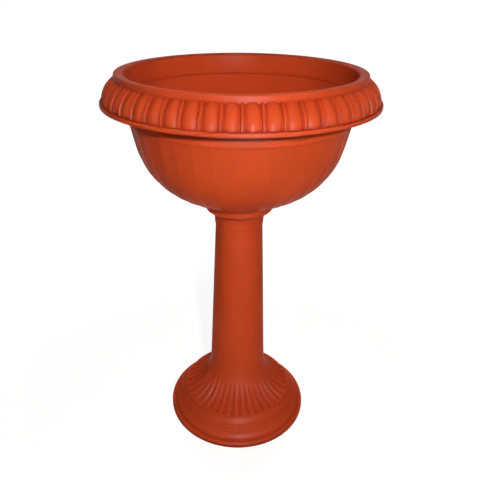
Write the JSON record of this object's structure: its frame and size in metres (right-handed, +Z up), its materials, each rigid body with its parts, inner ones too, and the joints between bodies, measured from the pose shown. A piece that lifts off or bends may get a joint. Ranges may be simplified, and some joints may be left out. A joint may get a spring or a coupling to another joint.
{
  "type": "pedestal planter",
  "caption": "Terracotta-coloured pedestal planter: a round bowl with a gadrooned rolled rim on a tapered column with a fluted flaring foot.",
  "frame": {"origin": "on the floor at the centre of the foot", "axes": "+Z up along the column's axis, -Y is the front"},
  "size_m": [0.38, 0.38, 0.5856],
  "materials": {
    "pedestal_plastic": "satin moulded terracotta plastic",
    "capital_plastic": "satin moulded terracotta plastic",
    "screw_steel": "zinc-plated steel",
    "bowl_plastic": "satin moulded terracotta plastic",
    "plug_plastic": "moulded plastic"
  },
  "bodies": {
    "stand": {"pedestal": "pedestal_plastic", "capital": "capital_plastic", "capital_screws": "screw_steel"},
    "pot": {"bowl": "bowl_plastic"},
    "plug": {"drain_plug": "plug_plastic"}
  },
  "joints": [
    {"name": "bowl_lift", "type": "slide", "parent": "stand", "child": "pot", "axis": [0, 0, 1], "range_m": [0, 0.06]},
    {"name": "plug_pull", "type": "slide", "parent": "pot", "child": "plug", "axis": [0, 0, 1], "range_m": [0, 0.04]}
  ]
}
